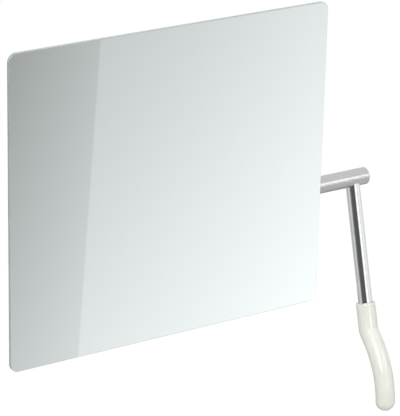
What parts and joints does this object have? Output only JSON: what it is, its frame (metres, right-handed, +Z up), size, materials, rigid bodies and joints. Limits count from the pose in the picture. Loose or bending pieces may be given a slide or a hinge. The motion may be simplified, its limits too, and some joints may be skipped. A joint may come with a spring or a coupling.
{
  "type": "pivot wall mirror",
  "caption": "Frameless tilting wall mirror with rounded corners on a horizontal steel tube, turned by a polished side lever with a bent ivory grip.",
  "frame": {"origin": "on the wall face of the rail, at the height of the tube's axis and on the glass's centre line", "axes": "+X to the right along the tube, +Y into the wall, +Z up; the glass faces -Y"},
  "size_m": [0.725, 0.2023, 0.7394],
  "materials": {
    "silvered_glass": "polished silvered float glass, 6 mm, ground edges",
    "backing_film": "matt grey safety backing",
    "coated_steel": "satin white powder coat",
    "cast_aluminium": "blasted casting",
    "dark_polyamide": "matt black moulding",
    "satin_steel": "satin ground along the tube",
    "polished_steel": "mirror polish",
    "ivory_polyamide": "glossy ivory white moulding",
    "bond_tape": "black foam bonding tape",
    "zinced_steel": "bright zinc plate"
  },
  "bodies": {
    "wall_mount": {"wall_rail": "coated_steel", "bearing_block_left": "cast_aluminium", "bearing_cap_left": "cast_aluminium", "bush_rear_left": "dark_polyamide", "bush_front_left": "dark_polyamide", "bearing_block_right": "cast_aluminium", "bearing_cap_right": "cast_aluminium", "bush_rear_right": "dark_polyamide", "bush_front_right": "dark_polyamide", "spring_washer_left_upper": "zinced_steel", "cap_screw_left_upper": "zinced_steel", "block_screw_left_upper": "zinced_steel", "spring_washer_left_lower": "zinced_steel", "cap_screw_left_lower": "zinced_steel", "block_screw_left_lower": "zinced_steel", "spring_washer_right_upper": "zinced_steel", "cap_screw_right_upper": "zinced_steel", "block_screw_right_upper": "zinced_steel", "spring_washer_right_lower": "zinced_steel", "cap_screw_right_lower": "zinced_steel", "block_screw_right_lower": "zinced_steel"},
    "mirror": {"mirror_glass": "silvered_glass", "safety_film": "backing_film", "carrier_left": "zinced_steel", "saddle_left": "cast_aluminium", "saddle_strap_left": "zinced_steel", "bond_tape_left_outer": "bond_tape", "bond_tape_left_inner": "bond_tape", "strap_screw_left_upper": "zinced_steel", "strap_screw_left_lower": "zinced_steel", "carrier_right": "zinced_steel", "saddle_right": "cast_aluminium", "saddle_strap_right": "zinced_steel", "bond_tape_right_outer": "bond_tape", "bond_tape_right_inner": "bond_tape", "strap_screw_right_upper": "zinced_steel", "strap_screw_right_lower": "zinced_steel", "shaft_tube": "satin_steel", "shaft_plug_left": "dark_polyamide", "shaft_plug_right": "satin_steel", "collar_left": "zinced_steel", "collar_right": "zinced_steel", "collar_screw_left": "zinced_steel", "collar_screw_right": "zinced_steel", "lever_tube": "polished_steel", "lever_insert": "zinced_steel", "lever_washer": "zinced_steel", "lever_bolt": "zinced_steel", "grip": "ivory_polyamide", "grip_screw": "zinced_steel"}
  },
  "joints": [
    {"name": "tilt", "type": "hinge", "parent": "wall_mount", "child": "mirror", "pos_m": [0, -0.056, 0], "axis": [1, 0, 0], "range_deg": [0, 20]}
  ]
}
